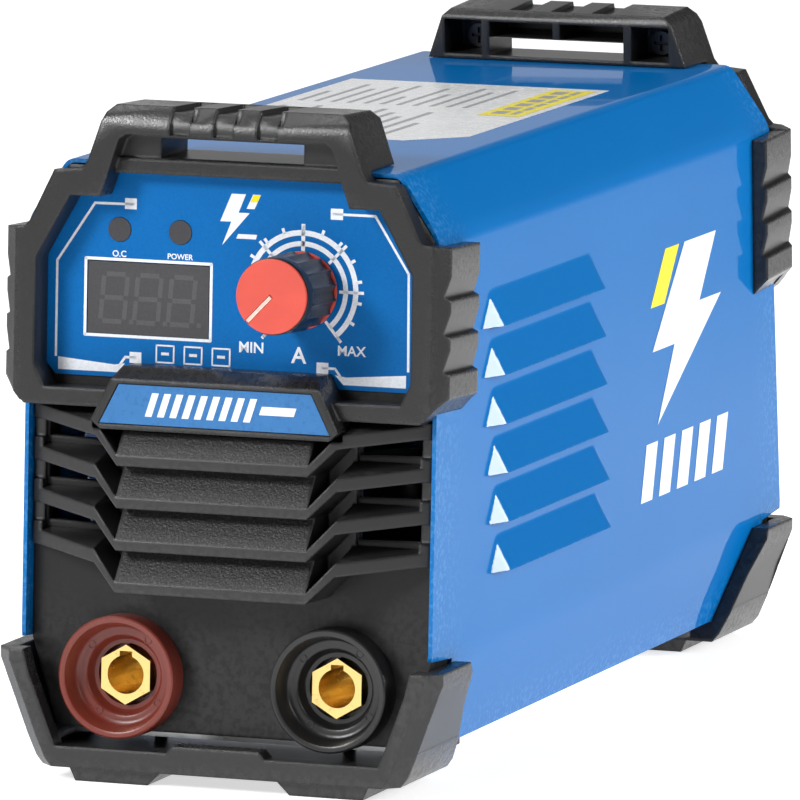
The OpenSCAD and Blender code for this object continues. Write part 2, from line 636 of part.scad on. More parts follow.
module switch_body() color("#18181a") rear() difference() {
    union() {
        box(switch_x - 12.8, switch_x + 12.8, plate_y - 2, plate_y - 0.05, switch_z - 15.8, switch_z + 15.8);
        box(switch_x - 11, switch_x + 11, plate_y - 0.1, 22, switch_z - 14, switch_z + 14);
        for (x = [-6, 6]) for (z = [-8, 8]) box(switch_x + x - 2.4, switch_x + x + 2.4, 22, 30,
            switch_z + z - 0.4, switch_z + z + 0.4);
    }
    box(switch_x - 9.6, switch_x + 9.6, 0, 15, switch_z - 12.2, switch_z + 12.2);
    translate([switch_x - 10.4, rocker_y + 4, switch_z]) rotate([0, 90, 0]) cylinder(r = 1.56, h = 20.8);
}
module switch_rocker() color("firebrick") rear() translate([switch_x, rocker_y + 4,
    switch_z]) rotate([rocker_rest, 0, 0]) {
    intersection() {
        along_x([[-7.6, -11.2], [-7.6, -10.2], [-5.8, 0], [-7.6, 10.2], [-7.6, 11.2], [-1, 11.2], [3.5,
            4], [3.5, -4], [-1, -11.2]],
            -9.2, 9.2);
        rotate([0, 90, 0]) cylinder(r = 12.6, h = 30, center = true);
    }
    rotate([0, 90, 0]) cylinder(r = 1.5, h = 20.4, center = true);
}
module gland_body() color("#2b2b2d") rear() difference() {
    union() {
        hex_rod(gland_x, gland_z, 12, -3, plate_y - 0.1);
        rod(gland_x, gland_z, 8.8, -9, -2.9);
        rod(gland_x, gland_z, 7.9, plate_y - 0.2, 16);
    }
    rod(gland_x, gland_z, 6.6, -10, -2);
    rod(gland_x, gland_z, 5.4, -3, 17);
}
module gland_cap() color("#2b2b2d") rear() difference() {
    union() {
        hex_rod(gland_x, gland_z, gland_cap_r + 1.4, -11, -3.2);
        translate([gland_x, -11, gland_z]) rotate([90, 0, 0]) cylinder(r1 = gland_cap_r, r2 = 6.4,
            h = -gland_tip - 11);
    }
    rod(gland_x, gland_z, 8.95, -9.6, -3);
    rod(gland_x, gland_z, 6.55, -15, -9);
    rod(gland_x, gland_z, 4.8, gland_tip - 1, -14);
}
module gland_seal() color("#141414") rear() difference() {
    rod(gland_x, gland_z, 6.45, -14.8, -3.2);
    rod(gland_x, gland_z, 4.2, -16, 0);
}
module gland_locknut() color("#2b2b2d") rear() difference() {
    hex_rod(gland_x, gland_z, 12, plate_y + 2.6, plate_y + 7);
    rod(gland_x, gland_z, 7.95, 0, 20);
}
module earth_stud() color("goldenrod") rear() {
    rod(stud_x, stud_z, 2.5, -9, -0.3);
    rod(stud_x, stud_z, 2.1, -0.3, 14);
}
module earth_nut() color("silver") rear() {
    difference() {
        hex_rod(stud_x, stud_z, 4.6, -0.2, plate_y - 0.5);
        rod(stud_x, stud_z, 2.55, -4, 8);
    }
    difference() {
        hex_rod(stud_x, stud_z, 4.6, plate_y + 2.6, plate_y + 6.6);
        rod(stud_x, stud_z, 2.55, 0, 14);
    }
}

// ---- power electronics ----
standoff_places = [for (x = [-38, 38]) for (y = [66, 128, 198]) [x, y]];
control_places = [for (x = [-38.4, 38.4]) for (y = [55, 134]) [x, y]];
module main_board() color("darkgreen") placed() difference() {
    box(-42, 42, 50, 204, board_z, board_z + 1.6);
    for (p = standoff_places) translate([p[0], p[1], board_z - 1]) cylinder(r = 1.7, h = 4);
}
module board_standoffs() color("goldenrod") placed() for (p = standoff_places) difference() {
    translate([p[0], p[1], 2.5]) cylinder(r = 3.4, h = board_z - 2.55, $fn = 6);
    translate([p[0], p[1], 2]) cylinder(r = 1.55, h = 20);
}
module board_screws() color("silver") placed() for (p = standoff_places) translate([p[0], p[1], 0]) {
    translate([0, 0, board_z + 1.65]) cylinder(r = 2.9, h = 2);
    translate([0, 0, board_z - 5]) cylinder(r = 1.5, h = 8);
}
module control_board() color("darkgreen") placed() {
    difference() {
        box(-42, 42, 51, 138, 84, 85.6);
        for (p = control_places) translate([p[0], p[1], 80]) cylinder(r = 1.6, h = 8);
    }
    for (x = [-2, 14]) box(x, x + 10, 78, 96, 85.5, 88);
    for (y = [66, 74, 100, 108]) box(27, 31, y, y + 4, 85.5, 90);
}
module control_standoffs() color("goldenrod") placed() for (p = control_places) {
    translate([p[0], p[1], board_z + 1.65]) cylinder(r = 2.5, h = 84 - board_z - 1.7, $fn = 6);
    translate([p[0], p[1], 83]) cylinder(r = 1.5, h = 3);
    translate([p[0], p[1], 85.65]) cylinder(r = 2.6, h = 1.8);
}
module bulk_capacitors() color("#20242c") placed() for (y = [70, 101]) translate([21, y,
    board_z + 1.65]) difference() {
    cylinder(r = 14, h = 48);
    for (a = [0, 90]) rotate([0, 0, a]) translate([-9, -0.4, 47.6]) cube([18, 0.8, 1]);
}
// A finned heatsink: base plate across X and fins that run along Y
module heatsink(x0, x1, y0, y1, z0, fins) {
    box(x0, x1, y0, y1, z0, z0 + 6);
    for (i = [0:fins - 1]) box(x0 + i * (x1 - x0 - 1.6) / (fins - 1),
        x0 + i * (x1 - x0 - 1.6) / (fins - 1) + 1.6, y0, y1, z0 + 5.9, z0 + 38);
}
module igbt_heatsink() color("silver") placed() heatsink(4, 42, 138, 200, 38, 8);
module diode_heatsink() color("silver") placed() heatsink(-42, -4, 138, 200, 38, 8);
// A power transistor that stands on the main board, its back on the heatsink above
module to_package(x, y) {
    box(x - 8, x + 8, y, y + 5, 17, 37.9);
    for (k = [-1:1]) box(x + k * 5 - 0.6, x + k * 5 + 0.6, y + 2.2, y + 2.8, board_z + 1.65, 17.1);
}
module igbts() color("#141416") placed() for (x = [13, 33]) for (y = [150, 180]) to_package(x, y);
module output_diodes() color("#141416") placed() for (x = [-33, -13]) for (y = [150, 180]) to_package(x, y);
module transformer_core() color("#3a3a3c") placed() translate([transformer_x, 0, 0]) difference() {
    box(-21, 21, 92, 124, board_z + 1.7, 62);
    both_sides() box(7, 15, 91, 125, 22, 54);
}
module transformer_winding() color("peru") placed() translate([transformer_x, 0, 0]) difference() {
    box(-14.8, 14.8, 84, 132, 22.4, 53.6);
    box(-7.2, 7.2, 91.8, 124.2, 22, 54);
}
module choke_core() color("#5a5a40") placed() translate([-20, 70, board_z + 17.4]) rotate([90, 0,
    0]) difference() {
    cylinder(r = 14, h = 14, center = true);
    cylinder(r = 7, h = 16, center = true);
}
module choke_winding() color("peru") placed() translate([-20, 70, board_z + 17.4])
    for (k = [0:9]) rotate([0, k * 30 + 45, 0]) difference() {
        box(-1.5, 1.5, -8.6, 8.6, 5.6, 15.4);
        box(-3, 3, -7.05, 7.05, 6.75, 14.05);
    }
module bridge_rectifier() color("#1a1a1c") placed() {
    box(-17, 11, 196, 203, 18, 36);
    for (k = [0:3]) box(k * 7 - 14.3, k * 7 - 12.7, 199, 200, board_z + 1.65, 18.1);
}
module start_relay() color("#2a4a7a") placed() box(6, 34, 118, 133, board_z + 1.65, 36);
// A round wire swept along a route, eight sides
module wire(route, r) {
    function turn(i) = let (a = route[max(i - 1, 0)], b = route[min(i + 1,
        len(route) - 1)]) (b - a) / norm(b - a);
    function side(t) = let (s = cross(t, [1, 0, 0])) s / norm(s);
    polyhedron(
        points = [for (i = [0:len(route) - 1]) let (t = turn(i), s = side(t), u = cross(t, s)) for (k = [0:7])
            route[i] + r * (cos(k * 45) * s + sin(k * 45) * u)],
        faces = concat([[for (k = [7:-1:0]) k]], [for (i = [0:len(route) - 2]) for (k = [0:7])
            [i * 8 + k, i * 8 + (k + 1) % 8, (i + 1) * 8 + (k + 1) % 8, (i + 1) * 8 + k]],
            [[for (k = [0:7]) (len(route) - 1) * 8 + k]]), convexity = 6);
}
module mains_wires() color("#803020") placed() for (x = [-6, 6])
    wire([[switch_x + x, 207, switch_z - 1], [switch_x + x, 205.6, 104], [switch_x + x, 205.4, 98],
        [switch_x + x, 205.4, 84],
        [switch_x + x, 205.4, 60], [switch_x + x, 205, 40], [switch_x + x, 203, 26], [switch_x + x,
            201.7, board_z + 1.9]], 1.3);

cover();
base_tray();
cover_screws();
front_panel();
front_slats();
front_guard();
front_foot_guard();
guard_screws();
control_label();
display_window();
indicator_lenses();
nameplate();
knob_grip();
knob_core();
pot_body();
pot_shaft();
pot_nut();
positive_collar();
negative_collar();
positive_insert();
negative_insert();
socket_nuts();
positive_busbar();
negative_busbar();
display_board();
display_module();
display_cable();
rear_panel();
rear_guard();
rear_foot_guard();
fan_frame();
fan_rotor();
fan_screws();
switch_body();
switch_rocker();
gland_body();
gland_cap();
gland_seal();
gland_locknut();
earth_stud();
earth_nut();
main_board();
board_screws();
board_standoffs();
control_board();
control_standoffs();
bulk_capacitors();
igbt_heatsink();
igbts();
diode_heatsink();
output_diodes();
transformer_core();
transformer_winding();
choke_core();
choke_winding();
bridge_rectifier();
start_relay();
mains_wires();
emblem();
top_label();
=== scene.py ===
"""Looks of a stick welding inverter: refined shells, printed graphics, finishes, light and camera.

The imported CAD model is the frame. Sizes below are in millimetres in the case frame, whose zero is the
cover's lower front edge, and at() turns them into the row's metres.
"""
import json
import math

import bmesh
import bpy
from mathutils import Matrix, Vector


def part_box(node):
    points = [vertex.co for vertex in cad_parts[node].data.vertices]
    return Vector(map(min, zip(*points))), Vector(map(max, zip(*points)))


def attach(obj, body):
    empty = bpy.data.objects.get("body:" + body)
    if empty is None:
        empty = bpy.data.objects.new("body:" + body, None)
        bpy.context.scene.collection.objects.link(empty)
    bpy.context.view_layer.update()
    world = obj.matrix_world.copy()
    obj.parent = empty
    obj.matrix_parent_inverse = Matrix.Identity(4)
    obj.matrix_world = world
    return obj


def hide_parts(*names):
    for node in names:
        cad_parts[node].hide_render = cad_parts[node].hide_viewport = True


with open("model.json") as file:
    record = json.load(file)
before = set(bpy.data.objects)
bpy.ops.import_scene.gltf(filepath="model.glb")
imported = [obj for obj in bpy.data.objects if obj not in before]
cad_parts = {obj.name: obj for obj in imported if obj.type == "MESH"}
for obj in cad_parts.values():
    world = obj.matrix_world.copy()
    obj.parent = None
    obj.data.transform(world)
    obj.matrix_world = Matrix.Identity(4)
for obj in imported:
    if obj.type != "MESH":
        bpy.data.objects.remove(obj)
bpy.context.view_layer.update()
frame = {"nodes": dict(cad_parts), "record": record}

MM = 0.001
LEAN = math.atan(0.05)              # backward lean of the front end
FOOT_GUARD_FRONT = 5.4              # how far the front foot guard stands in front of the case zero
FOOT_DROP = 8.4                     # height of the case zero above the floor
LABEL_Y = 2.0                       # face of the control label in the leaning frame
PRINT = 0.04                        # thickness of a printed layer
STICKER = 0.12                      # top of the sticker above the cover
SOFT_EDGE = 1.1                     # shaded rounding of the moulded guards' edges
SLAT_SOFT_EDGE = 0.9
HALF_W = 52.0                       # half the width of the cover
TOP_Z = 138.5                       # flat top of the cover
KNOB = (17.0, 110.2)                # centre of the knob on the label

case_zero_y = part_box("front_foot_guard")[0].y / MM + FOOT_GUARD_FRONT


def at(x, y, z):
    """A point of the case frame in the row's metres."""
    return Vector((x, y + case_zero_y, z + FOOT_DROP)) * MM


CASE = Matrix.Translation(at(0, 0, 0)) @ Matrix.Scale(MM, 4)
FRONT = CASE @ Matrix.Rotation(-LEAN, 4, "X")


# ---------------------------------------------------------------- shader maths
class Value:
    """A number that varies over a surface: arithmetic on it adds the Math nodes."""

    def __init__(self, finish, socket):
        self.finish = finish
        self.socket = socket

    def math(self, operation, *others):
        inputs = {i: v for i, v in enumerate((self, *others))}
        return self.finish.node("Math", {"operation": operation}, inputs)

    def __add__(self, other): return self.math("ADD", other)
    def __radd__(self, other): return self.math("ADD", other)
    def __sub__(self, other): return self.math("SUBTRACT", other)
    def __rsub__(self, other): return self.finish.node("Math", {"operation": "SUBTRACT"}, {0: other, 1: self})
    def __mul__(self, other): return self.math("MULTIPLY", other)
    def __rmul__(self, other): return self.math("MULTIPLY", other)
    def __truediv__(self, other): return self.math("DIVIDE", other)
    def __gt__(self, other): return self.math("GREATER_THAN", other)
    def __lt__(self, other): return self.math("LESS_THAN", other)
    def sine(self): return self.math("SINE")
    def size(self): return self.math("ABSOLUTE")

    def ramp(self, low, high):
        """0 below low, 1 above high and smooth between."""
        settings = {"interpolation_type": "SMOOTHSTEP"}
        return self.finish.node("MapRange", settings, {"Value": self, "From Min": low, "From Max": high})


class Finish:
    """One material under construction."""

    def __init__(self, name):
        self.material = bpy.data.materials.new(name)
        self.material.use_nodes = True
        self.tree = self.material.node_tree
        self.surface = self.tree.nodes["Principled BSDF"]

    def feed(self, socket, value):
        if isinstance(value, Value):
            self.tree.links.new(value.socket, socket)
        elif hasattr(socket.default_value, "__len__") and not hasattr(value, "__len__"):
            socket.default_value = [value] * len(socket.default_value)
        elif hasattr(value, "__len__") and len(socket.default_value) == 4 and len(value) == 3:
            socket.default_value = (*value, 1)
        else:
            socket.default_value = value

    def node(self, kind, settings, sockets, output=0):
        """A shader node: its type, its settings, then the values or links of its sockets."""
        node = self.tree.nodes.new("ShaderNode" + kind)
        for name, value in settings.items():
            setattr(node, name, value)
        for name, value in sockets.items():
            self.feed(node.inputs[name], value)
        return Value(self, node.outputs[output])

    def place(self, stretch=(1, 1, 1)):
        """Object coordinates, in metres, stretched along the axes."""
        where = self.node("TexCoord", {}, {}, "Object")
        return self.node("VectorMath", {"operation": "MULTIPLY"}, {0: where, 1: stretch})

    def axes(self):
        """Object coordinates X, Y and Z in millimetres."""
        return self.split(self.place((1000, 1000, 1000)))

    def split(self, vector):
        """The three parts of a vector."""
        node = self.tree.nodes.new("ShaderNodeSeparateXYZ")
        self.tree.links.new(vector.socket, node.inputs[0])
        return [Value(self, out) for out in node.outputs]

    def noise(self, grain_mm, detail=2.0, rough=0.5, stretch=(1, 1, 1)):
        """Noise between 0 and 1 whose grain is about grain_mm across."""
        sockets = {"Vector": self.place(stretch), "Scale": 1000 / grain_mm, "Detail": detail, "Roughness": rough}
        return self.node("TexNoise", {}, sockets)

    def cells(self, grain_mm, feature="F1"):
        sockets = {"Vector": self.place(), "Scale": 1000 / grain_mm}
        return self.node("TexVoronoi", {"feature": feature}, sockets)

    def blend(self, factor, first, second):
        """A colour between two colours."""
        node = self.tree.nodes.new("ShaderNodeMix")
        node.data_type = "RGBA"
        self.feed(node.inputs["Factor"], factor)
        self.feed(node.inputs[6], first)
        self.feed(node.inputs[7], second)
        return Value(self, node.outputs[2])

    def edges(self):
        """1 on outer edges that hands and benches rub."""
        return self.node("NewGeometry", {}, {}, "Pointiness").ramp(0.52, 0.6)

    def relief(self, height, depth_mm, edge_mm=0.0):
        """Raises the surface by height times depth_mm, and softens its edges over edge_mm."""
        sockets = {"Height": height, "Distance": depth_mm * MM}
        if edge_mm:
            sockets["Normal"] = self.node("Bevel", {"samples": 4}, {"Radius": edge_mm * MM})
        return self.node("Bump", {}, sockets)

    def done(self, **values):
        for name, value in values.items():
            self.feed(self.surface.inputs[name.replace("_", " ")], value)
        return self.material


def moulded_black(name, grain_mm, grain_depth, shade, rough, shine, painted_glint_strength=0.0):
    """Black plastic with a fine moulded grain, a little polished along its edges, and with lighter spots painted in as
    glints where asked.
    """
    f = Finish(name)
    grain = f.noise(grain_mm, 1.5, 0.55)
    patches = f.noise(30, 2)
    wear = f.edges() * f.noise(1.6, 3).ramp(0.35, 0.6)
    colour = f.blend(grain.ramp(0.35, 0.7) * 0.5 + patches * 0.2, [c * 0.85 for c in shade], [c * 1.2 for c in shade])
    colour = f.blend(wear * 0.25, colour, [c * 3 + 0.02 for c in shade])
    # painted glints: random lighter spots in the colour that stand in for sparkles of light on the grain
    painted_glints = f.noise(grain_mm * 0.8, 1, 0.5).ramp(0.58, 0.72) * painted_glint_strength
    colour = f.blend(painted_glints, colour, (0.14, 0.14, 0.145))
    dust = f.noise(0.5, 4, 0.7).ramp(0.68, 0.8) * 0.05
    return f.done(Base_Color=f.blend(dust, colour, (0.2, 0.2, 0.2)),
                  Roughness=rough + (patches - 0.5) * 0.06 - wear * 0.08,
                  Specular_IOR_Level=shine, Normal=f.relief(grain, grain_depth, SOFT_EDGE))


def slat_black():
    """The slats' plastic: satin, with a coarse grain on their sloping middle faces and lighter spots on them painted
    as glints.
    """
    f = Finish("slat_black")
    x, y, z = f.axes()
    tilt = f.split(f.node("NewGeometry", {}, {}, "Normal"))[2]
    grained = (x.size() < 23.6) * (tilt > 0.35) * (tilt < 0.9)
    fine = f.noise(0.4, 2, 0.6)
    coarse = f.noise(0.62, 1.5, 0.6)
    # painted glints: lighter spots on the grained slopes that stand in for sparkles of light
    painted_glints = f.noise(0.5, 1.5, 0.6).ramp(0.52, 0.7) * grained
    patches = f.noise(25, 2)
    wear = f.edges() * f.noise(1.3, 3).ramp(0.35, 0.6)
    colour = f.blend(fine * 0.6 + patches * 0.3, (0.011, 0.011, 0.012), (0.018, 0.018, 0.019))
    colour = f.blend(wear * 0.35, colour, (0.09, 0.09, 0.09))
    colour = f.blend(painted_glints, colour, (0.05, 0.05, 0.054))
    return f.done(Base_Color=colour, Roughness=0.36 + (fine - 0.5) * 0.1 + grained * 0.14, Specular_IOR_Level=0.5,
                  Normal=f.relief(fine * 0.08 + coarse * grained, 0.16, SLAT_SOFT_EDGE))


def gloss_paint():
    """Blue powder coat with a soft gloss, faint orange peel and fine dust."""
    f = Finish("gloss_paint")
    peel = f.noise(5, 1.5, 0.4)
    fine = f.noise(0.35, 2, 0.6)
    patches = f.noise(45, 2)
    wear = f.edges() * f.noise(1.2, 3).ramp(0.5, 0.62)
    colour = f.blend(patches, (0.0, 0.135, 0.415), (0.0, 0.145, 0.44))
    colour = f.blend(wear * 0.2, colour, (0.15, 0.4, 0.75))
    dust = f.noise(0.5, 3, 0.7).ramp(0.7, 0.8) * 0.04
    return f.done(Base_Color=f.blend(dust, colour, (0.5, 0.6, 0.7)), Roughness=0.45 + (fine - 0.5) * 0.1,
                  Specular_IOR_Level=0.02, Coat_Weight=0.45 - dust, Coat_Roughness=0.03, Coat_IOR=1.5,
                  Normal=f.relief(peel, 0.004))


def printed_film(name, ink, rough=0.42, grain=0.6, depth=0.02, shine=0.25):
    """Printed polyester film with a fine pebbled face."""
    f = Finish(name)
    pebble = f.noise(grain, 2, 0.6)
    patches = f.noise(15, 2)
    mottle = pebble.ramp(0.3, 0.7) * 0.6 + patches * 0.4
    colour = f.blend(mottle, [c * 0.9 for c in ink], [min(1, c * 1.1) for c in ink])
    return f.done(Base_Color=colour, Roughness=rough + (pebble - 0.5) * 0.2, Specular_IOR_Level=shine,
                  Normal=f.relief(pebble, depth))


def moulded_gloss(name, shade, rough=0.3, depth=0.02, grain=1.5):
    """Glossy or satin moulded plastic with faint flow marks."""
    f = Finish(name)
    flow = f.noise(grain, 3, 0.6)
    patches = f.noise(9, 2)
    wear = f.edges() * f.noise(0.9, 3).ramp(0.45, 0.6)
    colour = f.blend(patches, [c * 0.85 for c in shade], [min(1, c * 1.12) for c in shade])
    colour = f.blend(wear * 0.3, colour, [min(1, c * 1.6 + 0.03) for c in shade])
    return f.done(Base_Color=colour, Roughness=rough + (flow - 0.5) * 0.15, Normal=f.relief(flow, depth))


def worked_metal(name, shade, rough=0.25, lines=(1, 1, 60), depth=0.01, tarnish=0.25):
    """Metal with fine tool lines across one direction and a trace of tarnish."""
    f = Finish(name)
    tool = f.noise(6, 3, 0.7, lines)
    spots = f.noise(2.5, 4, 0.65).ramp(0.55, 0.75)
    colour = f.blend(tool, [c * 0.85 for c in shade], [min(1, c * 1.08) for c in shade])
    colour = f.blend(spots * tarnish, colour, [c * 0.45 for c in shade])
    return f.done(Base_Color=colour, Metallic=1.0, Roughness=rough + (tool - 0.5) * 0.16 + spots * 0.12,
                  Normal=f.relief(tool, depth))


def wound_copper():
    """Enamelled copper wire in close turns, painted darker in the grooves between turns and lighter on their crowns as
    shade and highlight.
    """
    f = Finish("wound_copper")
    x, y, z = f.axes()
    turns = ((z + f.noise(5, 2) * 0.25) * 5.2).sine()
    # painted shade and highlight: dark copper in the grooves between turns, bright copper on their crowns
    colour = f.blend(turns.ramp(-1, 1), (0.22, 0.07, 0.02), (0.75, 0.33, 0.12))
    return f.done(Base_Color=colour, Metallic=0.75, Roughness=0.34 + f.noise(1, 2) * 0.1, Normal=f.relief(turns, 0.25))


def circuit_board():
    """Solder mask over copper tracks."""
    f = Finish("circuit_board")
    x, y, z = f.axes()
    cell = f.cells(5.5, "DISTANCE_TO_EDGE")
    tracks = cell.ramp(0.04, 0.07) * (cell < 0.13)
    pads = f.cells(3.1).ramp(0.16, 0.12)
    colour = f.blend(tracks, (0.006, 0.07, 0.03), (0.02, 0.16, 0.07))
    colour = f.blend(pads * 0.8, colour, (0.55, 0.55, 0.5))
    return f.done(Base_Color=colour, Roughness=0.35 + f.noise(2, 3) * 0.15, Normal=f.relief(tracks + pads, 0.05))


def flat_ribbon():
    """Grey flat cable with its joined cores, painted darker in the grooves between cores and lighter on their crowns
    as shade and highlight.
    """
    f = Finish("flat_ribbon")
    x, y, z = f.axes()
    cores = (x * 5).sine()
    # painted shade and highlight: darker grey in the grooves between cores, lighter grey on their crowns
    colour = f.blend(cores.ramp(-1, 1), (0.35, 0.35, 0.36), (0.62, 0.62, 0.63))
    return f.done(Base_Color=colour, Roughness=0.55 + f.noise(1, 2) * 0.1, Normal=f.relief(cores, 0.2))


def make_finishes():
    """All materials by the record's slot name."""
    black = (0.012, 0.012, 0.013)
    return {
        "blue_paint": gloss_paint(),
        "grained_black": moulded_black("grained_black", 0.5, 0.035, black, 0.31, 0.5, 0.06),
        "satin_black": moulded_black("satin_black", 0.5, 0.02, (0.011, 0.011, 0.012), 0.4, 0.3),
        "slat_black": slat_black(),
        "fan_black": moulded_black("fan_black", 0.4, 0.02, (0.018, 0.018, 0.02), 0.42, 0.5),
        "gland_black": moulded_black("gland_black", 0.4, 0.03, (0.02, 0.02, 0.021), 0.4, 0.5),
        "seal_rubber": moulded_black("seal_rubber", 0.3, 0.03, (0.016, 0.016, 0.016), 0.7, 0.4),
        "label_blue": printed_film("label_blue", (0.0, 0.125, 0.40), 0.5, 0.6, 0.02, 0.12),
        "print_white": printed_film("print_white", (0.78, 0.82, 0.88)),
        "sticker_print": printed_film("sticker_print", (0.72, 0.73, 0.74), 0.25, 2, 0.004),
        "print_grey": printed_film("print_grey", (0.3, 0.31, 0.33), 0.3),
        "print_yellow": printed_film("print_yellow", (0.85, 0.72, 0.02), 0.3, 2, 0.004),
        "mark_white": printed_film("mark_white", (0.80, 0.83, 0.88), 0.22, 2.5, 0.004),
        "mark_yellow": printed_film("mark_yellow", (0.83, 0.72, 0.0), 0.22, 2.5, 0.004),
        "smoked_window": printed_film("smoked_window", (0.06, 0.06, 0.064), 0.4),
        "segment_grey": printed_film("segment_grey", (0.085, 0.085, 0.09), 0.4),
        "lens_grey": printed_film("lens_grey", (0.05, 0.05, 0.056), 0.4),
        "plate_blue": printed_film("plate_blue", (0.04, 0.165, 0.40), 0.3, 1.2, 0.01),
        "knob_black": moulded_gloss("knob_black", (0.004, 0.005, 0.009), 0.3),
        "knob_red": moulded_gloss("knob_red", (0.62, 0.07, 0.045), 0.45, 0.02, 0.7),
        "collar_red": moulded_gloss("collar_red", (0.17, 0.028, 0.018), 0.34, 0.03),
        "collar_black": moulded_gloss("collar_black", (0.012, 0.012, 0.013), 0.32, 0.03),
        "pointer_pale": moulded_gloss("pointer_pale", (0.85, 0.5, 0.42), 0.45),
        "board_parts": moulded_gloss("board_parts", (0.02, 0.02, 0.022), 0.45),
        "switch_red": moulded_gloss("switch_red", (0.5, 0.02, 0.015), 0.22),
        "relay_blue": moulded_gloss("relay_blue", (0.02, 0.09, 0.26), 0.35),
        "capacitor_sleeve": moulded_gloss("capacitor_sleeve", (0.012, 0.016, 0.03), 0.3),
        "wire_brown": moulded_gloss("wire_brown", (0.13, 0.045, 0.02), 0.45),
        "cable_grey": flat_ribbon(),
        "brass": worked_metal("brass", (0.80, 0.58, 0.22), 0.2, (1, 25, 1), 0.006, 0.2),
        "copper": worked_metal("copper", (0.72, 0.36, 0.22), 0.28, (1, 1, 30)),
        "bare_steel": worked_metal("bare_steel", (0.58, 0.59, 0.6), 0.3, (1, 1, 1), 0.01, 0.15),
        "dark_steel": worked_metal("dark_steel", (0.07, 0.07, 0.075), 0.35, (1, 1, 1), 0.01),
        "heatsink_aluminium": worked_metal("heatsink_aluminium", (0.78, 0.79, 0.8), 0.32, (60, 1, 60)),
        "ferrite": moulded_gloss("ferrite", (0.045, 0.045, 0.048), 0.6, 0.06, 0.5),
        "winding": wound_copper(),
        "board_green": circuit_board(),
    }


finishes = make_finishes()
slot_of = {row["node"]: row["material_slot"] for row in frame["record"]["subparts"]}
body_of = {node: body for body, group in frame["record"]["behaviour"]["bodies"].items() for node in group}


# ---------------------------------------------------------------- pieces
def settle(name, mesh, body, slot, finish=None, replaced=()):
    """Makes an object of a mesh, hangs it on its body and gives it the finish, or the slot's finish when none is
    named.
    """
    piece = bpy.data.objects.new(name, mesh)
    bpy.context.scene.collection.objects.link(piece)
    mesh.materials.clear()
    mesh.materials.append(finishes[finish or slot])
    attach(piece, body)
    if replaced:
        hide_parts(*replaced)
    return piece


def to_mesh(name, bm, smooth_angle=35):
    """A mesh of bm, smooth except across edges sharper than smooth_angle."""
    mesh = bpy.data.meshes.new(name)
    limit = math.radians(smooth_angle)
    for face in bm.faces:
        face.smooth = True
    for edge in bm.edges:
        edge.smooth = len(edge.link_faces) == 2 and edge.calc_face_angle(0) < limit
    bm.to_mesh(mesh)
    bm.free()
    return mesh


def clean_copy(node):
    """The CAD node's mesh, welded and with its flat faces whole again."""
    bm = bmesh.new()
    bm.from_mesh(frame["nodes"][node].data)
    bmesh.ops.remove_doubles(bm, verts=bm.verts, dist=0.002 * MM)
    bmesh.ops.dissolve_limit(bm, angle_limit=math.radians(0.6), verts=bm.verts, edges=bm.edges)
    return bm


def rounded(bm, radius, segments, sharp=28):
    """bm with its sharp edges rounded: each by the radius, or by less where it is crowded."""
    limit = math.radians(sharp)
    weights = bm.edges.layers.float.new("bevel_weight_edge")
    for edge in bm.edges:
        if len(edge.link_faces) == 2 and edge.calc_face_angle(0) > limit:
            near = min(e.calc_length() for v in edge.verts for e in v.link_edges)
            edge[weights] = min(1.0, 0.34 * near / (radius * MM))
    mesh = bpy.data.meshes.new("rounding")
    bm.to_mesh(mesh)
    bm.free()
    holder = bpy.data.objects.new("rounding", mesh)
    bpy.context.scene.collection.objects.link(holder)
    bevel = holder.modifiers.new("rounding", "BEVEL")
    bevel.limit_method = "WEIGHT"
    bevel.width = radius * MM
    bevel.segments = segments
    bevel.profile = 0.5
    bevel.use_clamp_overlap = False
    done = bpy.data.meshes.new_from_object(holder.evaluated_get(bpy.context.evaluated_depsgraph_get()))
    bpy.data.objects.remove(holder)
    result = bmesh.new()
    result.from_mesh(done)
    return result


def from_cad(node, radius=0.0, segments=3, smooth_angle=38, finish=None):
    """A refined piece that stands for one CAD node."""
    bm = clean_copy(node)
    if radius:
        bm = rounded(bm, radius, segments)
    slot = slot_of[node]
    piece = settle(node + "_piece", to_mesh(node, bm, smooth_angle), body_of[node], slot, finish, (node,))
    if radius:
        piece.modifiers.new("flat_faces", "WEIGHTED_NORMAL").keep_sharp = True
    return piece


# ---------------------------------------------------------------- cover with pressed louvres
SHEET = 1.0
TUCK_Z = 24.0
FOOT_X = 44.5                       # half the cover's width at its lower edge
SIDE_TOP = 123.5
SHOULDER = 10.0
LOUVRES = [(99.1 - 11.8 * i, 34 + 0.9 * i) for i in range(6)]
HOOD = 3.5                          # how far a hood stands out
HOOD_TALL = 8.4
HOOD_LENGTH = 82
NOSE_RUN = 8.4                      # length of a hood's sloping front end
TAIL_RUN = 6                        # and of its rear end


def bend(corner, before, after, radius, steps=5):
    """Points of a rounded corner of a section."""
    corner, before, after = (Vector(p) for p in (corner, before, after))
    start = corner + (before - corner).normalized() * radius
    end = corner + (after - corner).normalized() * radius
    return [start.lerp(corner, t).lerp(corner.lerp(end, t), t) for t in (i / steps for i in range(steps + 1))]


def hood_height(y, z):
    """How far the side stands out at a point of it."""
    best = 0.0
    for low, front in LOUVRES:
        up = z - low
        if -0.001 <= up <= HOOD_TALL:
            face = HOOD * (1 - up / HOOD_TALL)
            nose = HOOD * (y - front + 1.0 - up * 0.72) / NOSE_RUN
            tail = HOOD * (front + HOOD_LENGTH - y - up) / TAIL_RUN
            low_one = min(face, nose, tail)
            spread = 0.22
            soft = -spread * math.log(sum(math.exp(-v / spread) for v in (face, nose, tail))) if low_one > -1 else 0
            best = max(best, soft)
    return best


def side_rows():
    """Heights of the side's rows: fine over the louvres, with a doubled row at each open lip."""
    rows = [TUCK_Z + 3, 34.0]
    for low, front in sorted(LOUVRES):
        rows += [low - 0.4, low - 0.02, low]
        rows += [low + HOOD_TALL * k / 16 for k in range(1, 17)]
        rows.append(low + HOOD_TALL + 0.6)
    return rows + [115.0, SIDE_TOP - 3]


